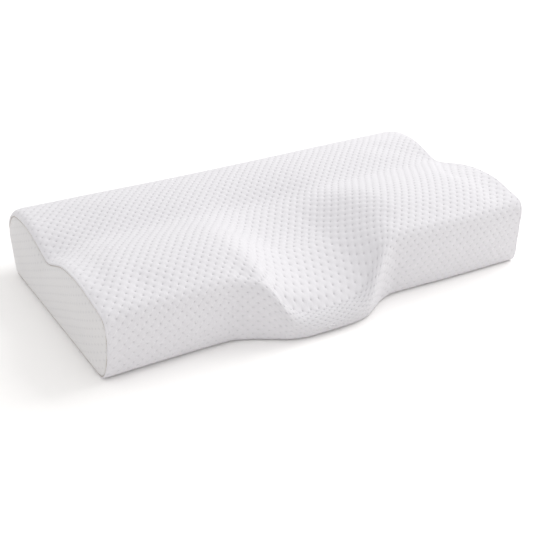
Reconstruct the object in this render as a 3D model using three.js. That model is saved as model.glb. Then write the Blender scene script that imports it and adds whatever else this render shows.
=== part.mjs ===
// Contoured neck pillow: a moulded foam block in a knitted cover, with a low front lobe and a head hollow.
// Millimetres. +X runs along the pillow, -Y is the neck side with the lobe, +Z is up, and the flat base lies on z = 0.
import * as THREE from "three";

// Driving dimensions
const SEAM_X = 290;          // half the length between the two end seams
const END_CROWN = 7;         // how far the middle of an end panel swells out past its seam
const END_ROUND = 16;        // length over which the cover rounds over into an end seam
const TOP_INSET = { left: 5, right: 2 };    // how far the top is drawn in at each end seam
const VALLEY_INSET = { left: 9, right: 0 }; // how much further the valley is drawn in there
const VALLEY_DRAW = 50;      // length over which the valley is drawn in towards an end
const SIDE_INSET = 2.5;      // how far the front and the back are drawn in at an end seam
const BASE_INSET = 2;        // how far the base is drawn in at an end seam
const END_LEAN = 1;          // how much further in the seam lies at the top than at the base
const TOP_FLARE = { left: 4, right: 3 };    // how much each seam stands out at the top
const BASE_FLARE = { left: 4, right: 0 };   // how much it stands out at the base
const LOBE_X = -18;          // middle of the lobe
const HOLLOW_X = 4;          // middle of the head hollow
const TOE_REACH = 96;        // distance from the lobe beyond which the right foot is no further drawn in
const RIGHT_PULL = 1.045;    // how much sooner the front changes to the right of the lobe's middle
const FOLD_AT = 76;          // distance from the lobe's middle to the fold in its left shoulder
const FOLD_RISE = 12;        // height of that fold
const FOLD_SPREAD = 15;      // how far the fold spreads
const BACK_Y = 182;          // half the width, from the lobe's tip to the back
const CREST_Y = -66;         // line of the front hump
const VALLEY_Y = 30;         // line of the valley between the humps
const HUMP_Y = 108;          // line of the back hump
const HUMP_Z = 97.2;         // height of the back hump at its middle
const HUMP_LIFT = { left: 4.5, right: 1.8 };  // how much higher it is near each end
const BULGE_Z = 53;          // height at which the back swells out furthest
const BACK_TOE = 29;         // how far the back's foot is drawn in under its bulge
const SOFT_EDGE = 17;        // height over which the front wall turns into the top
const END_DRAW = 60;         // length over which the cover leans and flares towards an end seam
const SEAM_STEP = 2.3;       // depth of the step that an end panel is set into
const PANEL_THICK = 2;       // thickness of an end panel
const EDGE_GAP = 0.5;        // gap between an end panel's edge and the cover around it
const SPINE_Z = 42;          // height of the level line that an end face swells to
const SPINE_Y = [-85, 115];  // where that line begins and ends

// Resolution
const SPAN_POINTS = 2;       // points for each span of a section's outline
const BASE_POINTS = 7;       // points across the flat base, between the two feet
const ROUND_STEPS = 4;       // sections in each rounded end
const LONG_SPANS = 46;       // spans between the rounded ends
const PANEL_RINGS = 4;       // rings from an end's edge to its middle

// The front half of the section. By distance from the lobe's middle: front = y of the front wall,
// toe = how far its foot is drawn in, lip = height of its top edge. By distance from the hollow's middle:
// crest = height on the line of the front hump, valley = height on the line of the valley.
const SECTIONS = [
  { at: 0, front: -182, toe: 5, lip: 28, crest: 58, valley: 73 },
  { at: 33, front: -181, toe: 5, lip: 30, crest: 61, valley: 75 },
  { at: 54, front: -176.5, toe: 5.5, lip: 39, crest: 69.5, valley: 78 },
  { at: 75, front: -164.5, toe: 6, lip: 59, crest: 82, valley: 81.5 },
  { at: 96, front: -152, toe: 6, lip: 79, crest: 93.5, valley: 83.5 },
  { at: 118, front: -145.5, toe: 8, lip: 88, crest: 99.5, valley: 84 },
  { at: 160, front: -146.5, toe: 10, lip: 90, crest: 101, valley: 84 },
  { at: 205, front: -148.5, toe: 12, lip: 90, crest: 101, valley: 84 },
  { at: 330, front: -149.5, toe: 13, lip: 90, crest: 101, valley: 84 },
];

// Smooth curve through one column of the table that never overshoots a row.
function column(name, at) {
  const x = SECTIONS.map((row) => row.at);
  const y = SECTIONS.map((row) => row[name]);
  const last = x.length - 1;
  const slope = x.slice(0, last).map((from, i) => (y[i + 1] - y[i]) / (x[i + 1] - from));
  const tangent = x.map((_, i) => {
    if (i === 0 || i === last) return 0;
    if (slope[i - 1] * slope[i] <= 0) return 0;
    const before = x[i] - x[i - 1];
    const after = x[i + 1] - x[i];
    const weight = 2 * after + before;
    const other = after + 2 * before;
    return (weight + other) / (weight / slope[i - 1] + other / slope[i]);
  });
  const place = THREE.MathUtils.clamp(at, x[0], x[last]);
  const i = Math.min(Math.max(x.findIndex((value) => value >= place) - 1, 0), last - 1);
  const span = x[i + 1] - x[i];
  const t = (place - x[i]) / span;
  const square = t * t;
  const cube = square * t;
  return (2 * cube - 3 * square + 1) * y[i] + (cube - 2 * square + t) * span * tangent[i]
    + (3 * square - 2 * cube) * y[i + 1] + (cube - square) * span * tangent[i + 1];
}

// The value a share of the way from one to the other.
const between = (low, high, share) => low + share * (high - low);

const mean = (points, axis) => points.reduce((sum, point) => sum + point[axis], 0) / points.length;

// How near x is to an end seam: 1 at the seam, 0 at the given length from it and beyond.
const nearness = (x, length) => THREE.MathUtils.clamp(1 - (SEAM_X - Math.abs(x)) / length, 0, 1);

// The outline from the front foot over both humps to the back foot, as [y, z] points at x.
// drawn is the share of the end's insets: 0 along the pillow, 1 at the end seam.
function outline(x, drawn) {
  const at = Math.abs(x - LOBE_X) * (x < LOBE_X ? 1 : RIGHT_PULL);
  const across = Math.abs(x - HOLLOW_X);
  const fold = x < LOBE_X ? FOLD_RISE * Math.exp(-(((at - FOLD_AT) / FOLD_SPREAD) ** 2)) : 0;
  const end = x < 0 ? "left" : "right";
  const top = drawn * TOP_INSET[end];
  const dip = VALLEY_INSET[end] * nearness(x, VALLEY_DRAW) ** 2;
  const low = drawn * BASE_INSET;
  const front = column("front", at) + drawn * SIDE_INSET;
  const back = BACK_Y - drawn * SIDE_INSET;
  const lip = column("lip", at) + fold - top;
  const crest = column("crest", across) - top;
  const valley = column("valley", across) - top - dip;
  const hump = HUMP_Z + (1 - drawn) * HUMP_LIFT[end] * (x / SEAM_X) ** 2 - top;
  const toe = column("toe", x < LOBE_X ? at : Math.min(at, TOE_REACH));
  const soft = Math.min(SOFT_EDGE, 0.6 * (lip - low));
  const turn = soft / SOFT_EDGE;
  return [
    [front + toe + 9, low],
    [front + toe, low + 1.5],
    [front + 0.5 * toe, low + 8],
    [front + 0.15 * toe, between(low, lip, 0.4)],
    [front, lip - soft],
    [front + 1.5 * turn, lip - 0.56 * soft],
    [front + 6.5 * turn, lip - 0.19 * soft],
    [front + 16, lip],
    [front + 31, between(lip, crest, 0.34)],
    [CREST_Y - 28, between(lip, crest, 0.85)],
    [CREST_Y, crest],
    [between(CREST_Y, VALLEY_Y, 0.33), between(crest, valley, 0.15)],
    [between(CREST_Y, VALLEY_Y, 0.58), between(crest, valley, 0.46)],
    [between(CREST_Y, VALLEY_Y, 0.83), between(crest, valley, 0.84)],
    [VALLEY_Y, valley],
    [between(VALLEY_Y, HUMP_Y, 0.16), between(valley, hump, 0.12)],
    [between(VALLEY_Y, HUMP_Y, 0.42), between(valley, hump, 0.57)],
    [between(VALLEY_Y, HUMP_Y, 0.68), between(valley, hump, 0.9)],
    [HUMP_Y, hump],
    [back - 43, hump - 4],
    [back - 19, hump - 16],
    [back - 3.5, hump - 32],
    [back, BULGE_Z + low / 2],
    [back - 0.22 * BACK_TOE, between(low, BULGE_Z, 0.6)],
    [back - 0.58 * BACK_TOE, between(low, BULGE_Z, 0.27)],
    [back - BACK_TOE, low],
  ];
}

// One closed ring of points round the pillow at x: the outline, then the flat base back to the front foot.
// shrink draws the whole ring in evenly, towards the inside.
function ring(x, drawn, shrink = 0) {
  const corners = outline(x, drawn).map(([y, z]) => new THREE.Vector3(x, y, z));
  const curve = new THREE.CatmullRomCurve3(corners, false, "centripetal");
  const points = curve.getPoints(SPAN_POINTS * (corners.length - 1));
  const rear = points[points.length - 1];
  const foot = points[0];
  for (let i = 1; i <= BASE_POINTS; i += 1) {
    points.push(rear.clone().lerp(foot, i / (BASE_POINTS + 1)));
  }
  const floor = drawn * BASE_INSET;
  for (const point of points) point.z = Math.max(point.z, floor);
  const moved = shrink > 0 ? drawnIn(points, shrink) : points;
  return moved.map((point) => new THREE.Vector3(leaned(x, point.z), point.y, point.z));
}

// A closed ring in the plane of a section, moved inwards by distance along its own normals.
function drawnIn(points, distance) {
  return points.map((point, i) => {
    const before = points[(i + points.length - 1) % points.length];
    const after = points[(i + 1) % points.length];
    const along = after.clone().sub(before).normalize();
    return new THREE.Vector3(point.x, point.y + distance * along.z, point.z - distance * along.y);
  });
}

// An end seam leans in a little towards the top, and stands out at the top and at the base.
function leaned(x, z) {
  const near = nearness(x, END_DRAW);
  const flare = (z > 45 ? TOP_FLARE : BASE_FLARE)[x < 0 ? "left" : "right"];
  const shift = END_LEAN * (z / 90) - flare * ((z - 45) / 45) ** 2;
  return x - Math.sign(x) * shift * near * near;
}

// Places of the sections along X: close together in the rounded ends, evenly spread between them.
function stations() {
  const full = SEAM_X - END_ROUND;
  const end = Array.from({ length: ROUND_STEPS + 1 }, (_, i) => {
    const angle = (i / ROUND_STEPS) * Math.PI / 2;
    return { x: full + END_ROUND * Math.cos(angle), drawn: 1 - Math.sin(angle) };
  });
  const middle = Array.from({ length: LONG_SPANS - 1 }, (_, i) => (
    { x: full * (2 * (i + 1) / LONG_SPANS - 1), drawn: 0 }
  ));
  const left = end.map((place) => ({ x: -place.x, drawn: place.drawn }));
  return [...left, ...middle, ...end.slice().reverse()];
}

// A ring shrunk to the given share towards the level line in an end, swelling outwards as it shrinks.
function swollen(edge, side, share) {
  const middle = mean(edge, "x");
  return edge.map((point) => {
    const y = THREE.MathUtils.clamp(point.y, ...SPINE_Y);
    const moved = point.clone().lerp(new THREE.Vector3(middle, y, SPINE_Z), 1 - share);
    moved.x += side * END_CROWN * (1 - share ** 3.5);
    return moved;
  });
}

// Shares of the way from the middle of an end to its edge, from the edge inwards.
const SHARES = Array.from({ length: PANEL_RINGS - 1 }, (_, i) => 1 - ((i + 1) / PANEL_RINGS) ** 1.3);

// Joins rings into one closed body: each quad is split along its shorter diagonal, and each end is closed on
// its middle point.
function closedBody(rings) {
  const count = rings[0].length;
  const positions = rings.flat().flatMap((point) => point.toArray());
  const index = [];
  for (let i = 0; i + 1 < rings.length; i += 1) {
    for (let j = 0; j < count; j += 1) {
      const next = (j + 1) % count;
      const a = i * count + j;
      const b = i * count + next;
      const onward = rings[i][j].distanceTo(rings[i + 1][next]);
      const back = rings[i + 1][j].distanceTo(rings[i][next]);
      if (back < onward) index.push(a, a + count, b, b, a + count, b + count);
      else index.push(a, a + count, b + count, a, b + count, b);
    }
  }
  for (const last of [0, rings.length - 1]) {
    const edge = rings[last];
    const middle = positions.length / 3;
    positions.push(mean(edge, "x"), mean(edge, "y"), SPINE_Z);
    for (let j = 0; j < count; j += 1) {
      const a = last * count + j;
      const b = last * count + (j + 1) % count;
      index.push(...(last === 0 ? [a, b, middle] : [b, a, middle]));
    }
  }
  const geometry = new THREE.BufferGeometry();
  geometry.setAttribute("position", new THREE.Float32BufferAttribute(positions, 3));
  geometry.setIndex(volume(positions, index) < 0 ? index.reverse() : index);
  geometry.computeVertexNormals();
  return geometry;
}

// Signed volume of a closed mesh: negative where its faces point inwards.
function volume(positions, index) {
  const corner = (i) => new THREE.Vector3().fromArray(positions, 3 * index[i]);
  let sum = 0;
  for (let i = 0; i < index.length; i += 3) {
    sum += corner(i).dot(corner(i + 1).cross(corner(i + 2)));
  }
  return sum / 6;
}

// The edge of an end panel, sunk below the seam by depth.
function panelEdge(side, depth) {
  const edge = ring(side * SEAM_X, 1, EDGE_GAP * 1.5);
  for (const point of edge) point.x -= side * depth;
  return edge;
}

// An end's face, from its edge almost to its middle.
const face = (edge, side) => [edge, ...SHARES.map((share) => swollen(edge, side, share))];

// Rings that close one end of the body: down the seam's step, then over the swelling end face.
function endRings(side) {
  const step = ring(side * SEAM_X, 1, EDGE_GAP / 2);
  for (const point of step) point.x -= side * SEAM_STEP;
  return [step, ...face(panelEdge(side, SEAM_STEP), side)];
}

// The filled pillow: every section from end to end, with both end faces.
function bodyGeometry() {
  const sections = stations().map((place) => ring(place.x, place.drawn));
  return closedBody([...endRings(-1).reverse(), ...sections, ...endRings(1)]);
}

// An end panel: the same swelling face twice, its thickness apart, joined round its edge.
function panelGeometry(side) {
  const inner = face(panelEdge(side, PANEL_THICK), side);
  const outer = face(panelEdge(side, 0), side);
  return closedBody([...inner.reverse(), ...outer]);
}

function knit(color) {
  return new THREE.MeshStandardMaterial({ color, roughness: 0.95, metalness: 0 });
}

function piece(name, geometry, material) {
  const mesh = new THREE.Mesh(geometry, material);
  mesh.name = name;
  return mesh;
}

const pillow = new THREE.Group();
pillow.add(piece("pillow_body", bodyGeometry(), knit(0xedebef)));
pillow.add(piece("end_panel_left", panelGeometry(-1), knit(0xe4e2e4)));
pillow.add(piece("end_panel_right", panelGeometry(1), knit(0xe4e2e4)));

export default pillow;
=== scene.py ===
# Looks of the contoured neck pillow: the dimpled knit wrap, the two end covers, their sewn seams
# and the studio. Metres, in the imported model's frame. The form's own sizes are in millimetres.
import math

import bpy
import numpy as np
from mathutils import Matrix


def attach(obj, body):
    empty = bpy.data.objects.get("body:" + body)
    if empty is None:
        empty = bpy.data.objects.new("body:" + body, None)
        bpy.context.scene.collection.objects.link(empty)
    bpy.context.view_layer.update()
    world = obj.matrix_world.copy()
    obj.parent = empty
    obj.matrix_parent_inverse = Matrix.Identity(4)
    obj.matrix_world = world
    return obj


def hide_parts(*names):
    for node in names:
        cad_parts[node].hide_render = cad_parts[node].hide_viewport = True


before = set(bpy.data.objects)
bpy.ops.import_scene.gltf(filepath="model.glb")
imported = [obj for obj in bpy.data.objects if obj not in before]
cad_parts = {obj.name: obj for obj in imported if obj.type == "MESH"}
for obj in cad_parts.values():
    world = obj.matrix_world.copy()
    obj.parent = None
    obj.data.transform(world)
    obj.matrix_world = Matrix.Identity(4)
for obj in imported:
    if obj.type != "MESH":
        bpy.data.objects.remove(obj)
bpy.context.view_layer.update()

bl_info = {
    "name": "Contoured neck pillow",
    "version": (1, 0, 0),
    "blender": (4, 5, 0),
    "location": "3D View > Sidebar > Neck pillow",
    "description": "Makes the knitted wrap, end covers, seams and studio of a contoured neck pillow",
    "category": "Add Mesh",
}

MM = 0.001
SIDES = ((-1, "left"), (1, "right"))

# Form, in millimetres
SEAM_X = 290                 # half the length between the two end seams
END_CROWN = 7                # how far the middle of an end swells out past its seam
CROWN_POWER = 3.5            # how flat the middle of a swollen end is
END_ROUND = 16               # length over which the wrap rounds over into an end seam
TOP_INSET = (5, 2)           # how far the top is drawn in at the left and the right end seam
VALLEY_INSET = (9, 0)        # how much further the valley is drawn in there
VALLEY_DRAW = 50             # length over which the valley is drawn in towards an end
SIDE_INSET = 2.5             # how far the front and the back are drawn in at an end seam
BASE_INSET = 2               # how far the base is drawn in at an end seam
END_LEAN = 1                 # how much further in the seam lies at the top than at the base
TOP_FLARE = (4, 3)           # how much the left and the right seam stand out at the top
BASE_FLARE = (4, 0)          # how much they stand out at the base
END_MIDDLE_Z = 45            # middle height of an end, where its seam stands out least
LOBE_X = -18                 # middle of the lobe
HOLLOW_X = 4                 # middle of the head hollow
TOE_REACH = 96               # distance from the lobe beyond which the right foot stays the same
RIGHT_PULL = 1.045           # how much sooner the front changes to the right of the lobe's middle
FOLD_AT = 76                 # distance from the lobe's middle to the fold down its left flank
FOLD_RISE = 12               # how much the fold stands above the plain flank
FOLD_SPREAD = 15             # half the width of the fold
BACK_Y = 182                 # half the width, from the lobe's tip to the back
CREST_Y = -66                # line of the front hump
VALLEY_Y = 30                # line of the valley between the humps
HUMP_Y = 108                 # line of the back hump
HUMP_Z = 97.2                # height of the back hump at its middle
HUMP_LIFT = (4.5, 1.8)       # how much higher it is near the left and the right end
BULGE_Z = 53                 # height at which the back swells out furthest
BACK_TOE = 29                # how far the back's foot is drawn in under its bulge
SOFT_EDGE = 17               # height over which the front wall turns into the top
SOFT_SHARE = 0.6             # that height on a low lip, as a share of the lip's height
END_DRAW = 60                # length over which the wrap leans and flares towards an end seam
SEAM_STEP = 2.3              # depth of the step that an end cover is set into
COVER_THICK = 2              # thickness of an end cover
EDGE_GAP = 0.5               # gap between an end cover's edge and the wrap around it
COVER_INSET = 1.5 * EDGE_GAP     # how far a cover's edge lies inside the wrap's seam line
THREAD_INSET = 0.75 * EDGE_GAP   # how far the thread lies inside it
THREAD_SINK = 0.05           # how far the thread's middle lies below the wrap's edge
SPINE_Z = 42                 # height of the level line that an end swells to
SPINE_Y = (-85, 115)         # where that line begins and ends

# The front half of the section, by distance from the middle of the lobe and of the hollow
SECTION_NAMES = ("at", "front", "toe", "lip", "crest", "valley")
SECTIONS = np.array([
    (0, -182, 5, 28, 58, 73),
    (33, -181, 5, 30, 61, 75),
    (54, -176.5, 5.5, 39, 69.5, 78),
    (75, -164.5, 6, 59, 82, 81.5),
    (96, -152, 6, 79, 93.5, 83.5),
    (118, -145.5, 8, 88, 99.5, 84),
    (160, -146.5, 10, 90, 101, 84),
    (205, -148.5, 12, 90, 101, 84),
    (330, -149.5, 13, 90, 101, 84),
])

# Where the key lines stand in a section's list of points, and the knit's row pitch between them
KEY_POINTS = (0, 7, 10, 14, 18, 25)
ROW_PITCHES = (6.8, 7.6, 8.2, 5.9, 7.2)
PLAIN_X = -170.0             # where a section has its plain shape, away from the lobe and the ends

# The knit on the wrap, in millimetres
FOOT_SHARE = 0.65            # how deep the pits still are at the front foot, as a share of the others
RIM_PLAIN = 2.5              # width without pits beside an end seam
RIM_FADE = 5                 # width over which they come up
LIP_AT = 1.8                 # distance of the wrap's raised lip from its seam
LIP_SPREAD = 1.1             # half the width of the lip
ROUND_STRETCH = 1.25         # how far the knit runs over a rounded end, for each length of it along X
BASE_ROWS = 36               # rows of the knit across the base

# The ripples at the front corners, in millimetres
RIPPLE_HEIGHT = 0.22         # half their height
RIPPLE_PITCH = 11            # distance from one to the next, across them
RIPPLE_SLANT = (0.9, 0.42)   # how fast they follow each other along X and Z
RIPPLE_REACH = 90            # how far from an end seam they begin
RIPPLE_FRONT = 120           # distance in front of the middle where they begin
RIPPLE_TOP = 96              # height that they stay under
RIPPLE_FADE = 20             # length over which they fade out there

# The swelling of the knit, in millimetres
SWELL_FRAMES = 20            # frames of the cloth simulation
SWELL_SLACK = 1.5            # how far inside its form the knit starts
SWELL_CAP = 1.8              # how far the knit may end up from its form
SWELL_STEP = 10.0            # spacing of the simulated grid
SWELL_ROW = 7                # usual distance between two rows of the knit
SWELL_BASE = 280             # usual width of the base
SWELL_EDGE = 12              # distance from an end seam over which the swelling fades out

# Meshes
SPAN_SAMPLES = 24            # samples of each span of a section's curve
PIT_LINES = (-0.3, -0.13, 0, 0.13, 0.3, 0.5)   # mesh lines round each line of pits, in its pitches
ROUND_LINES = 18             # mesh lines over each rounded end
BASE_LINES = 20              # mesh lines across the hidden base
HIDDEN_RINGS = 6             # rings of the hidden face behind an end cover
HIDDEN_POWER = 1.3           # how close to its edge they stand
COVER_RINGS = 44             # rings of an end cover, from its edge to its middle
COVER_ROUND = 0.6            # share of their spacing that narrows towards the edge
COVER_BACK = 4               # outer rings for each ring of a cover's inner side
COVER_ROW_LINES = 3          # points of a cover's edge for each row of the knit
COVER_BASE_LINES = 90        # points of a cover's edge along the base
THREAD_ROW_LINES = 4         # points of the thread's path for each row of the knit
THREAD_BASE_LINES = 60       # points of the thread's path along the base

# The end covers
COVER_EDGE = 0.8             # width over which a cover's edge turns down into the seam, in millimetres
COVER_DROP = 0.4             # how far it turns down there, in millimetres
COVER_SLANT = math.radians(24.1)   # slant of a cover's rows, rising to the front

# The materials, in metres where a length is meant
LOOP_WIDE = 0.0012           # width of one loop of the knit
LOOP_HIGH = 0.0009           # height of one loop of the knit
LOOP_BEND = 1.5              # how far a loop's legs bend, as an angle
LOOP_GAP_PAINTED_SHADE = 0.02            # painted shade between the knit's loops: how dark their gaps are, from 0 to 1
FUZZ_SCALE = 900.0           # fineness of the fuzz
FUZZ_SHADE = 0.05            # how much the fuzz changes the colour
RIDGE_REACH = 0.0032         # how far a slanting ridge reaches from its pit on the top
RIDGE_SHIFT = 0.13           # how far a ridge passes beside its pits, in pitches
RIDGE_WIDTH = 0.0006         # half the width of a ridge
RIDGE_HEIGHT = 1.4           # height of a ridge, in the bump's own unit
RIDGE_FROM = 0.11            # distance from the lobe's middle at which the ridges begin
RIDGE_FADE = 0.05            # distance over which they come up
RIDGE_HIGHLIGHT_SHARE = 0.2            # painted highlight: how much lighter a ridge is on the front, from 0 to 1
# colour of the ridges' painted highlight
RIDGE_HIGHLIGHT_COLOUR = (0.9, 0.89, 0.9, 1)
DASH_SHADE = 0.38            # how dark the end covers' dashes are, from 0 to 1
DASH_ROW = 0.08              # how much of that shade a row has between its dashes
FLOOR_SHADE = (0.9, 0.9, 0.9, 1)
FLOOR_GLOW = 0.01            # strength of the floor's own faint glow
FLOOR_HALF = 9.0             # half the floor's width
FLOOR_SINK = 0.0002          # how far the floor lies under the pillow's base

# Sizes of the knit that its geometry tree takes, and of the seams that theirs takes
DIMPLE_SIZES = ("pitch_along", "pitch_across", "pit_radius", "pit_depth", "hollow_radius",
                "hollow_depth", "puff_height")
STITCH_SIZES = ("pitch", "length", "radius")


# Form

def column(name, at):
    """Smooth curve through one column of SECTIONS that never overshoots a row."""
    x = SECTIONS[:, 0]
    y = SECTIONS[:, SECTION_NAMES.index(name)]
    span = np.diff(x)
    slope = np.diff(y) / span
    same = slope[:-1] * slope[1:] > 0
    before = np.where(same, slope[:-1], 1)
    after = np.where(same, slope[1:], 1)
    weight = 2 * span[1:] + span[:-1]
    other = span[1:] + 2 * span[:-1]
    tangent = np.zeros(len(x))
    tangent[1:-1] = np.where(same, (weight + other) / (weight / before + other / after), 0)
    place = np.clip(at, x[0], x[-1])
    i = np.clip(np.searchsorted(x, place, side="left") - 1, 0, len(x) - 2)
    t = (place - x[i]) / span[i]
    square = t * t
    cube = square * t
    return ((2 * cube - 3 * square + 1) * y[i] + (cube - 2 * square + t) * span[i] * tangent[i]
            + (3 * square - 2 * cube) * y[i + 1] + (cube - square) * span[i] * tangent[i + 1])


def between(low, high, share):
    return low + share * (high - low)


def nearness(x, length):
    """How near x is to an end seam: 1 at the seam, 0 at the given length from it and beyond."""
    return np.clip(1 - (SEAM_X - np.abs(x)) / length, 0, 1)


def outline(x, drawn):
    """Key points of the sections at x, from the front foot over both humps to the back foot, as y and z.
    drawn is 1 at an end seam and 0 away from it."""
    at = np.abs(x - LOBE_X) * np.where(x < LOBE_X, 1, RIGHT_PULL)
    left = x < 0
    top = drawn * np.where(left, *TOP_INSET)
    dip = np.where(left, *VALLEY_INSET) * nearness(x, VALLEY_DRAW) ** 2
    low = drawn * BASE_INSET
    front = column("front", at) + drawn * SIDE_INSET
    back = BACK_Y - drawn * SIDE_INSET
    fold = np.where(x < LOBE_X, FOLD_RISE * np.exp(-((at - FOLD_AT) / FOLD_SPREAD) ** 2), 0)
    lip = column("lip", at) + fold - top
    across = np.abs(x - HOLLOW_X)
    crest = column("crest", across) - top
    valley = column("valley", across) - top - dip
    hump = HUMP_Z + (1 - drawn) * np.where(left, *HUMP_LIFT) * (x / SEAM_X) ** 2 - top
    toe = column("toe", np.where(x < LOBE_X, at, np.minimum(at, TOE_REACH)))
    soft = np.minimum(SOFT_EDGE, SOFT_SHARE * (lip - low))
    turn = soft / SOFT_EDGE
    points = [
        (front + toe + 9, low),
        (front + toe, low + 1.5),
        (front + 0.5 * toe, low + 8),
        (front + 0.15 * toe, between(low, lip, 0.4)),
        (front, lip - soft),
        (front + 1.5 * turn, lip - 0.56 * soft),
        (front + 6.5 * turn, lip - 0.19 * soft),
        (front + 16, lip),
        (front + 31, between(lip, crest, 0.34)),
        (CREST_Y - 28, between(lip, crest, 0.85)),
        (CREST_Y, crest),
        (between(CREST_Y, VALLEY_Y, 0.33), between(crest, valley, 0.15)),
        (between(CREST_Y, VALLEY_Y, 0.58), between(crest, valley, 0.46)),
        (between(CREST_Y, VALLEY_Y, 0.83), between(crest, valley, 0.84)),
        (VALLEY_Y, valley),
        (between(VALLEY_Y, HUMP_Y, 0.16), between(valley, hump, 0.12)),
        (between(VALLEY_Y, HUMP_Y, 0.42), between(valley, hump, 0.57)),
        (between(VALLEY_Y, HUMP_Y, 0.68), between(valley, hump, 0.9)),
        (HUMP_Y, hump),
        (back - 43, hump - 4),
        (back - 19, hump - 16),
        (back - 3.5, hump - 32),
        (back, BULGE_Z + low / 2),
        (back - 0.22 * BACK_TOE, between(low, BULGE_Z, 0.6)),
        (back - 0.58 * BACK_TOE, between(low, BULGE_Z, 0.27)),
        (back - BACK_TOE, low),
    ]
    return np.stack([np.stack(np.broadcast_arrays(y, z), -1) for y, z in points], 1)


def smooth_curve(points):
    """Centripetal curve through each section's key points, SPAN_SAMPLES to a span."""
    first = 2 * points[:, :1] - points[:, 1:2]
    last = 2 * points[:, -1:] - points[:, -2:-1]
    longer = np.concatenate([first, points, last], 1)
    step = np.sqrt(np.linalg.norm(np.diff(longer, axis=1), axis=2))[..., None]
    p0, p1, p2, p3 = (longer[:, i:longer.shape[1] - 3 + i] for i in range(4))
    d0, d1, d2 = (step[:, i:step.shape[1] - 2 + i] for i in range(3))
    out = ((p1 - p0) / d0 - (p2 - p0) / (d0 + d1) + (p2 - p1) / d1) * d1
    into = ((p2 - p1) / d1 - (p3 - p1) / (d1 + d2) + (p3 - p2) / d2) * d1
    t = (np.arange(SPAN_SAMPLES) / SPAN_SAMPLES)[None, None, :, None]
    start, end, out, into = (value[:, :, None] for value in (p1, p2, out, into))
    curve = (start + out * t + (3 * (end - start) - 2 * out - into) * t ** 2
             + (2 * (start - end) + out + into) * t ** 3)
    curve = curve.reshape(len(points), -1, 2)
    return np.concatenate([curve, points[:, -1:]], 1)


def lengths_along(curve):
    """Distance of each sample from the start of its curve."""
    steps = np.linalg.norm(np.diff(curve, axis=1), axis=2)
    return np.concatenate([np.zeros((len(curve), 1)), np.cumsum(steps, 1)], 1)


def key_rows():
    """The knit's row number at each key line, from the front foot. It is the same all along the pillow."""
    curve = smooth_curve(outline(np.array([PLAIN_X]), np.zeros(1)))
    places = lengths_along(curve)[0][np.array(KEY_POINTS) * SPAN_SAMPLES]
    return np.concatenate([[0], np.cumsum(np.diff(places) / ROW_PITCHES)])


def leaned(x, z):
    """An end seam leans in a little towards the top, and stands out at the top and at the base."""
    flare = np.where(z > END_MIDDLE_Z, np.where(x < 0, *TOP_FLARE), np.where(x < 0, *BASE_FLARE))
    lean = END_LEAN * (z / (2 * END_MIDDLE_Z))
    shift = lean - flare * ((z - END_MIDDLE_Z) / END_MIDDLE_Z) ** 2
    return x - np.sign(x) * shift * nearness(x, END_DRAW) ** 2


def rings(x, drawn, rows, base_lines, shrink=0.0):
    """Closed rings round the pillow at x: a point for each row, then the flat base back to the front foot.
    shrink draws each ring in evenly, in its own plane."""
    curve = smooth_curve(outline(x, drawn))
    length = lengths_along(curve)
    keys = length[:, np.array(KEY_POINTS) * SPAN_SAMPLES]
    known = key_rows()
    flat = np.empty((len(x), len(rows), 2))
    for i in range(len(x)):
        places = np.interp(rows, known, keys[i])
        flat[i, :, 0] = np.interp(places, length[i], curve[i, :, 0])
        flat[i, :, 1] = np.interp(places, length[i], curve[i, :, 1])
    share = (np.arange(1, base_lines + 1) / (base_lines + 1))[None, :, None]
    under = flat[:, -1:] * (1 - share) + flat[:, :1] * share
    flat = np.concatenate([flat, under], 1)
    flat[..., 1] = np.maximum(flat[..., 1], (drawn * BASE_INSET)[:, None])
    if shrink:
        along = np.roll(flat, -1, 1) - np.roll(flat, 1, 1)
        along /= np.linalg.norm(along, axis=2, keepdims=True)
        flat = flat + shrink * np.stack([along[..., 1], -along[..., 0]], -1)
    across = leaned(np.broadcast_to(x[:, None], flat.shape[:2]), flat[..., 1])
    return np.concatenate([across[..., None], flat], 2)


def seam_ring(side, rows, base_lines, shrink, depth):
    """The ring at one end seam, drawn in by shrink and sunk by depth."""
    ring = rings(np.array([float(side * SEAM_X)]), np.ones(1), rows, base_lines, shrink)[0]
    ring[:, 0] -= side * depth
    return ring


def swollen(edge, side, share):
    """A ring shrunk to the given share towards the level line in an end, swelling out as it shrinks."""
    target = np.stack([np.full(len(edge), edge[:, 0].mean()), np.clip(edge[:, 1], *SPINE_Y),
                       np.full(len(edge), SPINE_Z)], 1)
    ring = edge * share + target * (1 - share)
    ring[:, 0] += side * END_CROWN * (1 - share ** CROWN_POWER)
    return ring


def closed_faces(ring_count, points):
    """Faces that join rings of points into one closed body, each end closed on one more point."""
    i, j = np.meshgrid(np.arange(ring_count - 1), np.arange(points), indexing="ij")
    onward = (j + 1) % points
    corners = [i * points + j, (i + 1) * points + j, (i + 1) * points + onward, i * points + onward]
    faces = np.stack(corners, -1).reshape(-1, 4).tolist()
    first = ring_count * points
    last = (ring_count - 1) * points
    for k in range(points):
        after = (k + 1) % points
        faces.append([k, after, first])
        faces.append([last + after, last + k, first + 1])
    return faces


def closed_mesh(name, stack):
    """A mesh from rings in millimetres, closed at both ends, with smooth faces that point outwards."""
    ends = [stack[0].mean(0), stack[-1].mean(0)]
    places = np.concatenate([stack.reshape(-1, 3), ends]) * MM
    mesh = bpy.data.meshes.new(name)
    mesh.from_pydata(places.tolist(), [], closed_faces(stack.shape[0], stack.shape[1]))
    if signed_volume(stack * MM) < 0:
        mesh.flip_normals()
    mesh.polygons.foreach_set("use_smooth", np.ones(len(mesh.polygons), bool))
    mesh.update()
    return mesh


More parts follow.
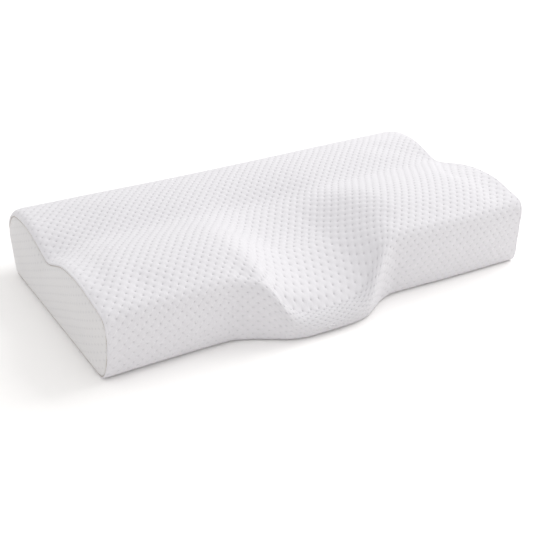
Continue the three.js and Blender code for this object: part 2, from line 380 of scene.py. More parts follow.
def signed_volume(stack):
    """Volume inside closed rings, negative where the faces of closed_faces point inwards."""
    a, b = stack[:-1], stack[1:]
    c, d = np.roll(b, -1, 1), np.roll(a, -1, 1)
    total = np.einsum("ijk,ijk->", a, np.cross(b, c)) + np.einsum("ijk,ijk->", a, np.cross(c, d))
    return total / 6


def linked(name, mesh):
    piece = bpy.data.objects.new(name, mesh)
    bpy.context.scene.collection.objects.link(piece)
    return piece


def add_numbers(mesh, name, values):
    """One number for each point of the mesh, by name."""
    layer = mesh.attributes.new(name, "FLOAT", "POINT")
    layer.data.foreach_set("value", values.astype(np.float32))


def add_map(mesh, first, second):
    """The knit's map, on the mesh's corners, from two numbers for each point."""
    corner = np.empty(len(mesh.loops), np.int32)
    mesh.loops.foreach_get("vertex_index", corner)
    layer = mesh.uv_layers.new(name="knit")
    layer.data.foreach_set("uv", np.stack([first[corner], second[corner]], 1).astype(np.float32).ravel())


# Node trees

class Value:
    """A number in a node tree. Arithmetic on it adds Math nodes to the tree."""

    def __init__(self, tree, socket):
        self.tree = tree
        self.socket = socket

    def math(self, operation, *others):
        node = self.tree.node("ShaderNodeMath", {"operation": operation}, dict(enumerate((self, *others))))
        return Value(self.tree, node.outputs[0])

    def __add__(self, other):
        return self.math("ADD", other)

    def __mul__(self, other):
        return self.math("MULTIPLY", other)

    def __sub__(self, other):
        return self.math("SUBTRACT", other)

    def __rsub__(self, other):
        return -self + other

    def __truediv__(self, other):
        return self.math("DIVIDE", other)

    def __neg__(self):
        return self.math("MULTIPLY", -1)

    __radd__ = __add__
    __rmul__ = __mul__

    def fract(self):
        return self.math("FRACT")

    def exp(self):
        return self.math("EXPONENT")

    def cosine(self):
        return self.math("COSINE")

    def least(self, other):
        return self.math("MINIMUM", other)

    def most(self, other):
        return self.math("MAXIMUM", other)


class Tree:
    """A node tree whose nodes are all made by one method."""

    def __init__(self, tree):
        self.tree = tree
        tree.nodes.clear()

    def node(self, kind, settings=None, sockets=None):
        made = self.tree.nodes.new(kind)
        for name, value in (settings or {}).items():
            setattr(made, name, value)
        for name, value in (sockets or {}).items():
            self.feed(made.inputs[name], value)
        return made

    def feed(self, socket, value):
        if isinstance(value, Value):
            value = value.socket
        if isinstance(value, bpy.types.NodeSocket):
            self.tree.links.new(value, socket)
        else:
            socket.default_value = value

    def value(self, kind, settings=None, sockets=None):
        return Value(self, self.node(kind, settings, sockets).outputs[0])

    def noise(self, scale, detail):
        """Noise over the object's own space, from 0 to 1."""
        where = self.node("ShaderNodeTexCoord").outputs["Object"]
        return self.value("ShaderNodeTexNoise", None, {"Vector": where, "Scale": scale, "Detail": detail})

    def mixed(self, factor, first, second):
        """Colour between first and second."""
        node = self.node("ShaderNodeMix", {"data_type": "RGBA"}, {0: factor, 6: first, 7: second})
        return node.outputs[2]


def geometry_tree(name, inputs):
    """A new geometry node tree with a geometry, the named numbers and a material as its inputs.
    Returns the tree, its inputs by name and its output node."""
    group = bpy.data.node_groups.new(name, "GeometryNodeTree")
    group.interface.new_socket(name="Geometry", in_out="INPUT", socket_type="NodeSocketGeometry")
    for size in inputs:
        group.interface.new_socket(name=size, in_out="INPUT", socket_type="NodeSocketFloat")
    group.interface.new_socket(name="Material", in_out="INPUT", socket_type="NodeSocketMaterial")
    group.interface.new_socket(name="Geometry", in_out="OUTPUT", socket_type="NodeSocketGeometry")
    tree = Tree(group)
    entry = tree.node("NodeGroupInput")
    given = {socket.name: socket for socket in entry.outputs if socket.name}
    return tree, given, tree.node("NodeGroupOutput")


def finish_geometry(tree, given, exit_node, geometry):
    """Ends a geometry tree: instances made real, and the given material on everything."""
    real = tree.node("GeometryNodeRealizeInstances", None, {0: geometry})
    smooth = tree.node("GeometryNodeSetShadeSmooth", None, {0: real.outputs[0]})
    dressed = tree.node("GeometryNodeSetMaterial", None,
                        {0: smooth.outputs[0], "Material": given["Material"]})
    tree.feed(exit_node.inputs[0], dressed.outputs[0])
    return tree.tree


def run_geometry(piece, group, sizes, names, material):
    """Runs a geometry tree on the piece with the named sizes, and keeps the result as its plain mesh."""
    values = {name: getattr(sizes, name) for name in names}
    values["Material"] = material
    modifier = piece.modifiers.new(group.name, "NODES")
    modifier.node_group = group
    for item in group.interface.items_tree:
        if item.in_out == "INPUT" and item.name in values:
            modifier[item.identifier] = values[item.name]
    graph = bpy.context.evaluated_depsgraph_get()
    graph.update()
    result = bpy.data.meshes.new_from_object(piece.evaluated_get(graph), preserve_all_data_layers=True,
                                             depsgraph=graph)
    piece.modifiers.clear()
    old = piece.data
    piece.data = result
    bpy.data.meshes.remove(old)
    result.name = piece.name


def from_middle(steps):
    """How far a count of steps is from the middle of its step, from -0.5 to 0.5."""
    return steps.fract() - 0.5


def bell(square, width):
    """1 where the squared distance is nought, falling off softly over the width."""
    return (-square / (width * width)).exp()


def pit_square(u, v, along, across):
    """Squared distance to the nearest pit: pits stand at whole columns in even rows, half way in odd ones."""
    found = None
    for shift in (0, 0.5):
        beside = from_middle(u + (shift + 0.5)) * along
        above = from_middle(v * 0.5 + (shift + 0.5)) * 2 * across
        square = beside * beside + above * above
        found = square if found is None else found.least(square)
    return found


def dimple_tree():
    """Geometry tree that presses the pits and hollows into the wrap, and raises its seam lips and ripples."""
    tree, given, exit_node = geometry_tree("knit_dimples", DIMPLE_SIZES)
    along, across, pit_radius, pit_depth, hollow_radius, hollow_depth, puff_height = (
        Value(tree, given[name]) for name in DIMPLE_SIZES)
    u, v, show, raised = (
        tree.value("GeometryNodeInputNamedAttribute", {"data_type": "FLOAT"}, {"Name": name})
        for name in ("knit_u", "knit_v", "knit_show", "knit_raise"))
    square = pit_square(u, v, along, across)
    pit = bell(square, pit_radius) * pit_depth
    hollow = bell(square, hollow_radius) * hollow_depth
    puff = (u * (2 * math.pi)).cosine() * (v * math.pi).cosine() * puff_height
    height = raised - (pit + hollow + puff) * show
    normal = tree.node("GeometryNodeInputNormal").outputs[0]
    offset = tree.node("ShaderNodeVectorMath", {"operation": "SCALE"}, {0: normal, "Scale": height})
    moved = tree.node("GeometryNodeSetPosition", None,
                      {"Geometry": given["Geometry"], "Offset": offset.outputs[0]})
    return finish_geometry(tree, given, exit_node, moved.outputs[0])


def stitch_tree():
    """Geometry tree that lays short stitches end to end along a loop of edges."""
    tree, given, exit_node = geometry_tree("seam_stitches", STITCH_SIZES)
    line = tree.node("GeometryNodeMeshToCurve", None, {0: given["Geometry"]})
    spread = tree.node("GeometryNodeCurveToPoints", {"mode": "LENGTH"},
                       {"Curve": line.outputs[0], "Length": given["pitch"]})
    grain = tree.node("GeometryNodeMeshUVSphere", None, {"Segments": 6, "Rings": 5, "Radius": 1.0})
    half = Value(tree, given["length"]) * 0.5
    size = tree.node("ShaderNodeCombineXYZ", None, {0: given["radius"], 1: given["radius"], 2: half})
    stitch = tree.node("GeometryNodeTransform", None,
                       {"Geometry": grain.outputs[0], "Scale": size.outputs[0]})
    laid = tree.node("GeometryNodeInstanceOnPoints", None, {
        "Points": spread.outputs["Points"], "Instance": stitch.outputs[0],
        "Rotation": spread.outputs["Rotation"]})
    return finish_geometry(tree, given, exit_node, laid.outputs[0])


# Materials

def new_material(name):
    material = bpy.data.materials.new(name)
    material.use_nodes = True
    return material, Tree(material.node_tree)


def fabric_shader(tree, colour, height, distance, roughness, sheen):
    """Matt cloth with a fine bump."""
    bump = tree.node("ShaderNodeBump", None, {"Strength": 1.0, "Distance": distance, "Height": height})
    cloth = tree.node("ShaderNodeBsdfPrincipled", None, {
        "Base Color": colour, "Roughness": roughness, "Normal": bump.outputs[0],
        "Sheen Weight": sheen, "Sheen Roughness": 0.5, "Specular IOR Level": 0.2})
    tree.node("ShaderNodeOutputMaterial", None, {"Surface": cloth.outputs[0]})


def map_numbers(tree):
    """The two numbers of a piece's own map of the knit."""
    place = tree.node("ShaderNodeUVMap", {"uv_map": "knit"})
    split = tree.node("ShaderNodeSeparateXYZ", None, {0: place.outputs[0]})
    return Value(tree, split.outputs[0]), Value(tree, split.outputs[1])


def fine_knit(u, v, along, across):
    """Height of the knit's own small loops, from 0 to 1, from a map in pitches."""
    loops = (u * (2 * math.pi * along / LOOP_WIDE)).cosine()
    legs = (v * (2 * math.pi * across / LOOP_HIGH) + loops * LOOP_BEND).cosine()
    return legs * 0.5 + 0.5


def fuzz_tone_and_painted_loop_shade(fuzz, loops):
    """How much the fuzz's random tone and the painted shade in the gaps between the loops darken the knit."""
    return (fuzz - 0.5) * FUZZ_SHADE + (1 - loops) * LOOP_GAP_PAINTED_SHADE


def wrap_material(knit):
    """White knit: painted shade in its pits, slanting ridges with a painted highlight on the front, faint
    cloudy variation, and fine loops with painted shade between them.
    """
    material, tree = new_material("wrap_knit")
    u, v = map_numbers(tree)
    lip_row = key_rows()[1]
    square = pit_square(u, v, knit.pitch_along, knit.pitch_across)
    foot = (v * ((1 - FOOT_SHARE) / lip_row)).least(1 - FOOT_SHARE) + FOOT_SHARE
    # Painted shade: a dark spot in each pit, weaker towards the front foot.
    pit = bell(square, knit.painted_pit_shade_radius) * foot
    near = bell(square, RIDGE_REACH)
    slant = from_middle(u - v * 0.5 + (0.5 + RIDGE_SHIFT)) * knit.pitch_along
    front = 1 - ((v - lip_row) * 0.5).most(0).least(1)
    right = u * knit.pitch_along - LOBE_X * MM
    plain = ((right.most(-right) - RIDGE_FROM) / RIDGE_FADE).most(0).least(1)
    ridge = bell(slant * slant, RIDGE_WIDTH) * plain * (near * 0.6 + front * 0.8)
    cloud = tree.noise(14.0, 3.0)
    fuzz = tree.noise(FUZZ_SCALE, 2.0)
    loops = fine_knit(u, v, knit.pitch_along, knit.pitch_across)
    shade = (pit * knit.painted_pit_shade_strength + (cloud - 0.5) * 0.06 + fuzz_tone_and_painted_loop_shade(fuzz, loops)).most(0)
    colour = tree.mixed(shade, (*knit.colour, 1), (*knit.painted_shade_and_dash_colour, 1))
    # Painted highlight: the ridges on the front are lightened.
    colour = tree.mixed(ridge * front * RIDGE_HIGHLIGHT_SHARE, colour, RIDGE_HIGHLIGHT_COLOUR)
    height = loops * 0.7 + fuzz * 0.6 + ridge * RIDGE_HEIGHT - pit * 2
    fabric_shader(tree, colour, height, 0.00012, 0.86 + fuzz * 0.1, 0.3)
    return material


def end_material(knit):
    """Smoother white knit: faint slanting rows of tiny dashes."""
    material, tree = new_material("end_knit")
    along, up = map_numbers(tree)
    row = from_middle(up / knit.row_pitch) * knit.row_pitch
    dash = from_middle(along / knit.dash_pitch) * knit.dash_pitch
    mark = bell(row * row, knit.row_width) * (DASH_ROW + bell(dash * dash, knit.dash_width))
    cloud = tree.noise(16.0, 3.0)
    fuzz = tree.noise(FUZZ_SCALE, 2.0)
    loops = fine_knit(along, up, 1, 1)
    # The dashes and the cloud are the cover's own tone; the fine shade holds painted shade between the loops.
    shade = (mark * DASH_SHADE + (cloud - 0.5) * 0.07 + fuzz_tone_and_painted_loop_shade(fuzz, loops)).most(0)
    colour = tree.mixed(shade, (*knit.end_colour, 1), (*knit.painted_shade_and_dash_colour, 1))
    height = loops * 0.6 + fuzz * 0.6 - mark * 1.2
    fabric_shader(tree, colour, height, 0.00014, 0.88 + fuzz * 0.08, 0.3)
    return material


def seam_shadow_thread_material(seam):
    """Thread for the stitches, coloured as painted shadow of the seam's groove, with darker painted shade
    between its twisted strands.
    """
    material, tree = new_material("seam_shadow_thread")
    twist = tree.noise(1800.0, 1.0)
    colour = tree.mixed(twist * 0.5, (*seam.colour, 1), (*seam.shade, 1))
    fabric_shader(tree, colour, twist, 0.00008, 0.7 + twist * 0.1, 0.1)
    return material


def floor_material(studio):
    """Plain pale floor with a very slight variation."""
    material, tree = new_material("studio_floor")
    colour = tree.mixed(tree.noise(3.0, 2.0) * 0.1, (*studio.floor_colour, 1), FLOOR_SHADE)
    matt = tree.node("ShaderNodeBsdfPrincipled", None, {
        "Base Color": colour, "Roughness": 0.9, "Specular IOR Level": 0.1,
        "Emission Color": (1, 1, 1, 1), "Emission Strength": FLOOR_GLOW})
    tree.node("ShaderNodeOutputMaterial", None, {"Surface": matt.outputs[0]})
    return material


# Sizes that a user may change

class KnitSizes(bpy.types.PropertyGroup):
    """Sizes and colours of the knit"""
    pitch_along: bpy.props.FloatProperty(
        name="Pitch along", description="Distance between pits in a row",
        default=0.0108, unit="LENGTH")
    pitch_across: bpy.props.FloatProperty(
        name="Pitch across", description="Distance between rows of pits",
        default=0.007, unit="LENGTH")
    pit_radius: bpy.props.FloatProperty(
        name="Pit radius", description="Radius of a pit", default=0.0008, unit="LENGTH")
    pit_depth: bpy.props.FloatProperty(
        name="Pit depth", description="Depth of a pit", default=0.0006, unit="LENGTH")
    hollow_radius: bpy.props.FloatProperty(
        name="Hollow radius", description="Radius of the hollow round a pit",
        default=0.0019, unit="LENGTH")
    hollow_depth: bpy.props.FloatProperty(
        name="Hollow depth", description="Depth of the hollow round a pit",
        default=0.0007, unit="LENGTH")
    puff_height: bpy.props.FloatProperty(
        name="Puff height", description="Height of the puffs between the pits",
        default=0.0002, unit="LENGTH")
    # Painted shade in the pits: the dark spot's radius and how dark it is.
    painted_pit_shade_radius: bpy.props.FloatProperty(
        name="Pit shade", description="Radius of the dark spot in a pit",
        default=0.00085, unit="LENGTH")
    painted_pit_shade_strength: bpy.props.FloatProperty(
        name="Pit darkness", description="How dark a pit is, from 0 to 1",
        default=0.55, subtype="FACTOR")
    row_pitch: bpy.props.FloatProperty(
        name="Row pitch", description="Distance between an end cover's rows of dashes",
        default=0.0091, unit="LENGTH")
    row_width: bpy.props.FloatProperty(
        name="Row width", description="Half the height of a dash", default=0.0012, unit="LENGTH")
    dash_pitch: bpy.props.FloatProperty(
        name="Dash pitch", description="Distance between the dashes of a row",
        default=0.0068, unit="LENGTH")
    dash_width: bpy.props.FloatProperty(
        name="Dash width", description="Half the width of a dash", default=0.0009, unit="LENGTH")
    colour: bpy.props.FloatVectorProperty(
        name="Wrap colour", description="Colour of the wrap's knit",
        default=(0.705, 0.691, 0.713), subtype="COLOR")
    end_colour: bpy.props.FloatVectorProperty(
        name="End colour", description="Colour of the end covers",
        default=(0.685, 0.672, 0.673), subtype="COLOR")
    # Dark colour for the painted shade in the pits and between the loops, and for the end covers' dashes.
    painted_shade_and_dash_colour: bpy.props.FloatVectorProperty(
        name="Pit colour", description="Colour deep in a pit",
        default=(0.42, 0.41, 0.43), subtype="COLOR")


class SeamSizes(bpy.types.PropertyGroup):
    """Sizes and colours of the end seams"""
    pitch: bpy.props.FloatProperty(
        name="Stitch pitch", description="Distance between stitches", default=0.003, unit="LENGTH")
    length: bpy.props.FloatProperty(
        name="Stitch length", description="Length of a stitch", default=0.0028, unit="LENGTH")
    radius: bpy.props.FloatProperty(
        name="Thread radius", description="Radius of the thread", default=0.00035, unit="LENGTH")
    lip: bpy.props.FloatProperty(
        name="Lip height", description="Height of the wrap's lip beside the seam",
        default=0.0008, unit="LENGTH")
    # The thread's colours are painted shadow of the seam's groove, darker between the strands.
    colour: bpy.props.FloatVectorProperty(
        name="Thread colour", description="Colour of the thread",
        default=(0.56, 0.51, 0.44), subtype="COLOR")
    shade: bpy.props.FloatVectorProperty(
        name="Thread shade", description="Colour between the thread's strands",
        default=(0.46, 0.41, 0.34), subtype="COLOR")


class StudioSizes(bpy.types.PropertyGroup):
    """Floor, light and camera"""
    floor_colour: bpy.props.FloatVectorProperty(
        name="Floor colour", description="Colour of the floor",
        default=(0.985, 0.972, 0.96), subtype="COLOR")
    sky: bpy.props.FloatProperty(
        name="Sky", description="Strength of the even light all round", default=0.93)
    key: bpy.props.FloatProperty(
        name="Key light", description="Power of the soft light on the right",
        default=32.0, unit="POWER")
    key_size: bpy.props.FloatProperty(
        name="Key size", description="Width of that light", default=1.8, unit="LENGTH")
    key_place: bpy.props.FloatVectorProperty(
        name="Key place", description="Where that light stands",
        default=(1.8, 0.25, 1.6), subtype="TRANSLATION")
    lens: bpy.props.FloatProperty(
        name="Lens", description="Focal length in millimetres", default=70.24)
    pitch: bpy.props.FloatProperty(
        name="Camera pitch", description="How far down the camera looks",
        default=math.radians(27.436), subtype="ANGLE")
    turn: bpy.props.FloatProperty(
        name="Camera turn", description="How far right of the +Y axis the camera looks",
        default=math.radians(30.27), subtype="ANGLE")
    place: bpy.props.FloatVectorProperty(
        name="Camera place", description="Where the camera stands",
        default=(-0.6175, -1.0448, 0.6323), subtype="TRANSLATION")


# Cloth

def ring_normals(stack):
    """Outward unit normals of rings, from the neighbours of each point."""
    along = np.gradient(stack, axis=0)
    around = np.roll(stack, -1, 1) - np.roll(stack, 1, 1)
    normal = np.cross(around, along)
    normal /= np.maximum(np.linalg.norm(normal, axis=2, keepdims=True), 1e-9)
    middle = stack.reshape(-1, 3).mean(0)
    outward = np.sign(np.sum(normal * (stack - middle)))
    return normal * outward


def add_cloth(piece):
    """Cloth under the foam's even pressure, held at the points of the group named pinned."""
    modifier = piece.modifiers.new("swell", "CLOTH")
    modifier.collision_settings.use_collision = False
    settings = modifier.settings
    settings.quality = 6
    settings.mass = 0.3
    settings.tension_stiffness = 30
    settings.compression_stiffness = 30
    settings.shear_stiffness = 15
    settings.bending_stiffness = 3
    settings.use_pressure = True
    settings.uniform_pressure_force = 4
    settings.vertex_group_mass = "pinned"
    settings.effector_weights.gravity = 0


def swell(last_row):
    """How far the foam's pressure moves the knit from its form, as vectors on a coarse grid.
    Returns the grid's stations along X, its rows and the vectors."""
    stations = np.linspace(-SEAM_X, SEAM_X, int(2 * SEAM_X / SWELL_STEP) + 1)
    rows = np.linspace(0, last_row, int(last_row * SWELL_ROW / SWELL_STEP) + 1)
    full = rings(stations, (np.abs(stations) == SEAM_X).astype(float), rows,
                 int(SWELL_BASE / SWELL_STEP))
    pinned = np.zeros(full.shape[:2], bool)
    pinned[[0, -1]] = True
    pinned[:, len(rows) - 1:] = True
    pinned[:, 0] = True
    start = full - SWELL_SLACK * ring_normals(full)
    start[pinned] = full[pinned]
    cloth = linked("swelling_knit", closed_mesh("swelling_knit", start))
    group = cloth.vertex_groups.new(name="pinned")
    group.add(np.flatnonzero(pinned).tolist() + [pinned.size, pinned.size + 1], 1.0, "REPLACE")
    add_cloth(cloth)
    scene = bpy.context.scene
    for step in range(1, SWELL_FRAMES + 1):
        scene.frame_set(step)
    shown = cloth.evaluated_get(bpy.context.evaluated_depsgraph_get()).data
    places = np.empty(len(shown.vertices) * 3)
    shown.vertices.foreach_get("co", places)
    moved = places.reshape(-1, 3)[:pinned.size].reshape(full.shape) / MM - full
    scene.frame_set(1)
    bpy.data.objects.remove(cloth)
    length = np.linalg.norm(moved, axis=2, keepdims=True)
    moved *= np.minimum(1, SWELL_CAP / np.maximum(length, 1e-9))
    return stations, rows, moved[:, :len(rows)]


def soft_weights(places, known):
    """Weights that spread values at known places smoothly over other places, by a cubic spline's bumps."""
    index = np.interp(places, known, np.arange(len(known)))
    gap = np.abs(index[:, None] - np.arange(len(known))[None])
    near = 2 / 3 - gap ** 2 + gap ** 3 / 2
    far = np.clip(2 - gap, 0, None) ** 3 / 6
    weight = np.where(gap < 1, near, far)
    return weight / weight.sum(1, keepdims=True)


def swelling(x, rows):
    """The swelling at each station and row of the wrap, fading out towards the end seams."""
    stations, known, moved = swell(rows[-1])
    spread = np.einsum("ip,pqk,jq->ijk", soft_weights(x, stations), moved, soft_weights(rows, known))
    return np.clip((SEAM_X - np.abs(x)) / SWELL_EDGE, 0, 1)[:, None, None] * spread


# Pieces

def line_places(first, last, pitch):
    """Places of the mesh lines from first to last: a few close to each multiple of pitch."""
    numbers = np.arange(math.ceil(first / pitch) - 1, math.floor(last / pitch) + 2)
    places = (numbers[:, None] + np.array(PIT_LINES)[None]).ravel() * pitch
    inside = places[(places > first + 0.1 * pitch) & (places < last - 0.1 * pitch)]
    return np.concatenate([[first], inside, [last]])


def wrap_stations(pitch):
    """Where the wrap's rings stand along X, how far each is drawn in, and the knit's column number there."""
    full = SEAM_X - END_ROUND
    middle = line_places(-full, full, pitch / 2)
    angle = np.linspace(math.pi / 2, 0, ROUND_LINES + 1)[1:]
    round_x = full + END_ROUND * np.cos(angle)
    round_drawn = 1 - np.sin(angle)
    round_u = (full + END_ROUND * ROUND_STRETCH * (1 - angle / (math.pi / 2))) / pitch
    x = np.concatenate([-round_x[::-1], middle, round_x])
    drawn = np.concatenate([round_drawn[::-1], np.zeros(len(middle)), round_drawn])
    u = np.concatenate([-round_u[::-1], middle / pitch, round_u])
    return x, drawn, u


def lengths_from_first(stack):
    """Distance of each point from the first ring, along its own line, in millimetres."""
    steps = np.linalg.norm(np.diff(stack, axis=0), axis=2)
    return np.concatenate([np.zeros((1, stack.shape[1])), np.cumsum(steps, 0)])


def pit_strength(from_seam, rows):
    """How strongly the pits show at each point of the wrap, from 0 to 1: not at all on the base."""
    show = np.clip((from_seam - RIM_PLAIN) / RIM_FADE, 0, 1)
    show[:, len(rows):] = 0
    foot = np.clip(np.minimum(rows, rows[-1] - rows), 0, 1)
    foot *= np.minimum(FOOT_SHARE + rows * (1 - FOOT_SHARE) / key_rows()[1], 1)
    show[:, :len(rows)] *= foot[None]
    return show


def front_ripples(stack):
    """Faint slanting ripples where the wrap is pulled round the front corners, in metres."""
    x, y, z = (stack[..., i] for i in range(3))
    inside = (-y - RIPPLE_FRONT, z, RIPPLE_TOP - z)
    front, above, under = (np.clip(distance / RIPPLE_FADE, 0, 1) for distance in inside)
    along, up = RIPPLE_SLANT
    wave = np.sin((np.abs(x) * along + z * up) / RIPPLE_PITCH * 2 * math.pi)
    return RIPPLE_HEIGHT * MM * front * above * under * nearness(x, RIPPLE_REACH) * wave


def hidden_end(side, rows):
    """The rings hidden behind one end cover, from the foot of its step to near the end's middle."""
    step = seam_ring(side, rows, BASE_LINES, EDGE_GAP / 2, SEAM_STEP)
    edge = seam_ring(side, rows, BASE_LINES, COVER_INSET, SEAM_STEP)
    shares = 1 - (np.arange(1, HIDDEN_RINGS) / HIDDEN_RINGS) ** HIDDEN_POWER
    return np.array([step, edge] + [swollen(edge, side, share) for share in shares])


def make_wrap(knit, seam):
    """The knitted wrap over the foam block, from end seam to end seam."""
    x, drawn, u = wrap_stations(knit.pitch_along / MM)
    last_row = key_rows()[-1]
    rows = line_places(0, last_row, 1.0)
    stack = rings(x, drawn, rows, BASE_LINES)
    stack[:, :len(rows)] += swelling(x, rows)
    under = last_row + (np.arange(1, BASE_LINES + 1) / (BASE_LINES + 1)) * BASE_ROWS
    v = np.concatenate([rows, under])
    from_seam = np.minimum(lengths_from_first(stack), lengths_from_first(stack[::-1])[::-1])
    lip = seam.lip * np.exp(-((from_seam - LIP_AT) / LIP_SPREAD) ** 2)
    ripple = front_ripples(stack)
    ripple[:, len(rows):] = 0
    left, right = (hidden_end(side, rows) for side, word in SIDES)
    whole = np.concatenate([left[::-1], stack, right])
    rest = np.zeros(left.shape[:2])

    def for_all(values):
        """Values for every point, nought on the hidden end faces and their middles."""
        return np.concatenate([rest.ravel(), values.ravel(), rest.ravel(), [0, 0]])

    numbers = {
        "knit_u": for_all(np.broadcast_to(u[:, None], stack.shape[:2])),
        "knit_v": for_all(np.broadcast_to(v[None], stack.shape[:2])),
        "knit_show": for_all(pit_strength(from_seam, rows)),
        "knit_raise": for_all(lip + ripple),
    }
    mesh = closed_mesh("pillow_wrap", whole)
    for name, values in numbers.items():
        add_numbers(mesh, name, values)
    add_map(mesh, numbers["knit_u"], numbers["knit_v"])
    piece = linked("pillow_wrap", mesh)
    run_geometry(piece, dimple_tree(), knit, DIMPLE_SIZES, wrap_material(knit))
    for name in numbers:
        piece.data.attributes.remove(piece.data.attributes[name])
    return piece


def make_end_cover(side, name, material):
    """A crowned sheet that closes one end, turned in at its edge.
    Returns the piece, its flat length and height, and its flat area."""
    last_row = key_rows()[-1]
    rows = np.linspace(0, last_row, int(last_row * COVER_ROW_LINES) + 1)
    outer_edge, inner_edge = (
        seam_ring(side, rows, COVER_BASE_LINES, COVER_INSET, depth) for depth in (0, COVER_THICK))
    fine = np.cos(np.linspace(0, math.pi / 2, COVER_RINGS + 1)[:-1])
    even = np.linspace(1, 0, COVER_RINGS + 1)[:-1]
    share = COVER_ROUND * fine + (1 - COVER_ROUND) * even
    outer = np.array([swollen(outer_edge, side, value) for value in share])
    inset = np.linalg.norm(outer - outer[:1], axis=2)
    outer[..., 0] -= side * COVER_DROP * np.exp(-(inset / COVER_EDGE) ** 2)
    inner = np.array([swollen(inner_edge, side, value) for value in share[::COVER_BACK]])
    mesh = closed_mesh(name, np.concatenate([inner[::-1], outer]))
    mesh.materials.append(material)
    places = np.array([vertex.co[:] for vertex in mesh.vertices])
    cos, sin = math.cos(COVER_SLANT), math.sin(COVER_SLANT)
    add_map(mesh, places[:, 1] * cos - places[:, 2] * sin, places[:, 1] * sin + places[:, 2] * cos)
    flat = outer_edge[:, 1:] * MM
    ahead = np.roll(flat, -1, 0)
    area = abs(np.sum(flat[:, 0] * ahead[:, 1] - ahead[:, 0] * flat[:, 1])) / 2
    size = flat.max(0) - flat.min(0)
    return linked(name, mesh), (float(size[1]), float(size[0])), float(area)


def make_seam(side, name, seam, tree, material):
    """The stitches of one end seam, in the groove between the wrap and the end cover; their dark thread is
    painted shadow of the groove.
    """
    last_row = key_rows()[-1]
    rows = np.linspace(0, last_row, int(last_row * THREAD_ROW_LINES) + 1)
    path = seam_ring(side, rows, THREAD_BASE_LINES, THREAD_INSET, THREAD_SINK) * MM
    count = len(path)
    mesh = bpy.data.meshes.new(name)
    mesh.from_pydata(path.tolist(), [(i, (i + 1) % count) for i in range(count)], [])
    piece = linked(name, mesh)
    run_geometry(piece, tree, seam, STITCH_SIZES, material)
    return piece


def make_floor(studio):
    mesh = bpy.data.meshes.new("studio_floor")
    corners = ((-1, -1), (1, -1), (1, 1), (-1, 1))
    places = [(x * FLOOR_HALF, y * FLOOR_HALF, -FLOOR_SINK) for x, y in corners]
    mesh.from_pydata(places, [], [(0, 1, 2, 3)])
    mesh.materials.append(floor_material(studio))
    linked("studio_floor", mesh)


def make_lights(scene, studio):
    """An even white sky and one large soft lamp."""
    world = bpy.data.worlds.new("studio_sky")
    world.use_nodes = True
    tree = Tree(world.node_tree)
    sky = tree.node("ShaderNodeBackground", None, {"Color": (1, 1, 1, 1), "Strength": studio.sky})
    tree.node("ShaderNodeOutputWorld", None, {"Surface": sky.outputs[0]})
    scene.world = world
    light = bpy.data.lights.new("key_light", "AREA")
    light.size = studio.key_size
    light.energy = studio.key
    lamp = bpy.data.objects.new("key_light", light)
    scene.collection.objects.link(lamp)
    lamp.location = studio.key_place
    aim = -lamp.location
    lamp.rotation_euler = aim.to_track_quat("-Z", "Y").to_euler()


def make_camera(scene, studio):
    data = bpy.data.cameras.new("camera")
    data.lens = studio.lens
    data.sensor_width = 36
    camera = bpy.data.objects.new("camera", data)
    camera.location = studio.place
    camera.rotation_euler = (math.pi / 2 - studio.pitch, 0, -studio.turn)
    scene.collection.objects.link(camera)
    scene.camera = camera
    scene.view_settings.view_transform = "Standard"


# Operators

class MakeWrap(bpy.types.Operator):
    """Make the dimpled knit wrap over the foam block"""
    bl_idname = "neck_pillow.wrap"
    bl_label = "Knit wrap"

    def execute(self, context):
        piece = make_wrap(context.scene.pillow_knit, context.scene.pillow_seam)
        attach(piece, "root")
        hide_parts("pillow_body")
        return {"FINISHED"}


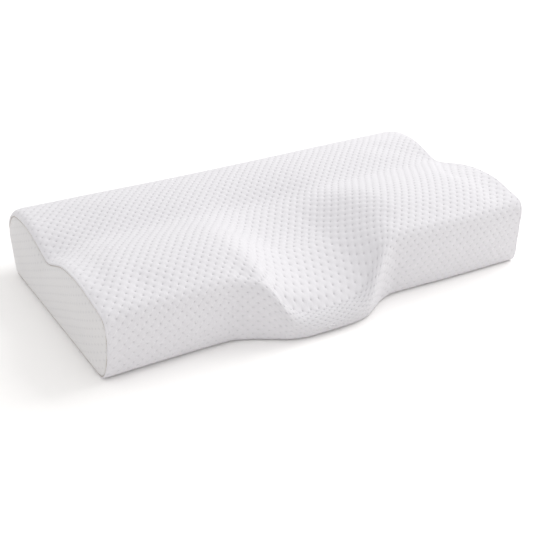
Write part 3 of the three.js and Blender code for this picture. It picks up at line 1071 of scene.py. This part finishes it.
class MakeEndCovers(bpy.types.Operator):
    """Make the smooth knit covers that close the two ends"""
    bl_idname = "neck_pillow.end_covers"
    bl_label = "End covers"

    def execute(self, context):
        material = end_material(context.scene.pillow_knit)
        for side, word in SIDES:
            piece, flat, area = make_end_cover(side, "end_cover_" + word, material)
            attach(piece, "root")
            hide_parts("end_panel_" + word)
        return {"FINISHED"}


class MakeSeams(bpy.types.Operator):
    """Sew the end covers to the wrap"""
    bl_idname = "neck_pillow.seams"
    bl_label = "End seams"

    def execute(self, context):
        seam = context.scene.pillow_seam
        material = seam_shadow_thread_material(seam)
        tree = stitch_tree()
        for side, word in SIDES:
            piece = make_seam(side, "seam_shadow_thread_" + word, seam, tree, material)
            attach(piece, "root")
        return {"FINISHED"}


class MakeStudio(bpy.types.Operator):
    """Set up the floor, the soft light and the camera"""
    bl_idname = "neck_pillow.studio"
    bl_label = "Studio"

    def execute(self, context):
        studio = context.scene.pillow_studio
        make_floor(studio)
        make_lights(context.scene, studio)
        make_camera(context.scene, studio)
        return {"FINISHED"}


STEPS = (MakeWrap, MakeEndCovers, MakeSeams, MakeStudio)
GROUPS = {"pillow_knit": KnitSizes, "pillow_seam": SeamSizes, "pillow_studio": StudioSizes}


class PillowPanel(bpy.types.Panel):
    """Lists the pillow's steps in the 3D view's sidebar"""
    bl_idname = "VIEW3D_PT_neck_pillow"
    bl_label = "Neck pillow"
    bl_space_type = "VIEW_3D"
    bl_region_type = "UI"
    bl_category = "Neck pillow"

    def draw(self, context):
        for step in STEPS:
            self.layout.operator(step.bl_idname)
        for group in (getattr(context.scene, name) for name in GROUPS):
            box = self.layout.box()
            for name in group.bl_rna.properties.keys():
                if name not in ("rna_type", "name"):
                    box.prop(group, name)


def register():
    for kind in (*GROUPS.values(), *STEPS, PillowPanel):
        bpy.utils.register_class(kind)
    for name, kind in GROUPS.items():
        setattr(bpy.types.Scene, name, bpy.props.PointerProperty(type=kind))


def unregister():
    for name in GROUPS:
        delattr(bpy.types.Scene, name)
    for kind in (PillowPanel, *reversed(STEPS), *GROUPS.values()):
        bpy.utils.unregister_class(kind)


def main():
    register()
    bpy.ops.neck_pillow.wrap()
    bpy.ops.neck_pillow.end_covers()
    bpy.ops.neck_pillow.seams()
    bpy.ops.neck_pillow.studio()


if __name__ == "__main__":
    main()
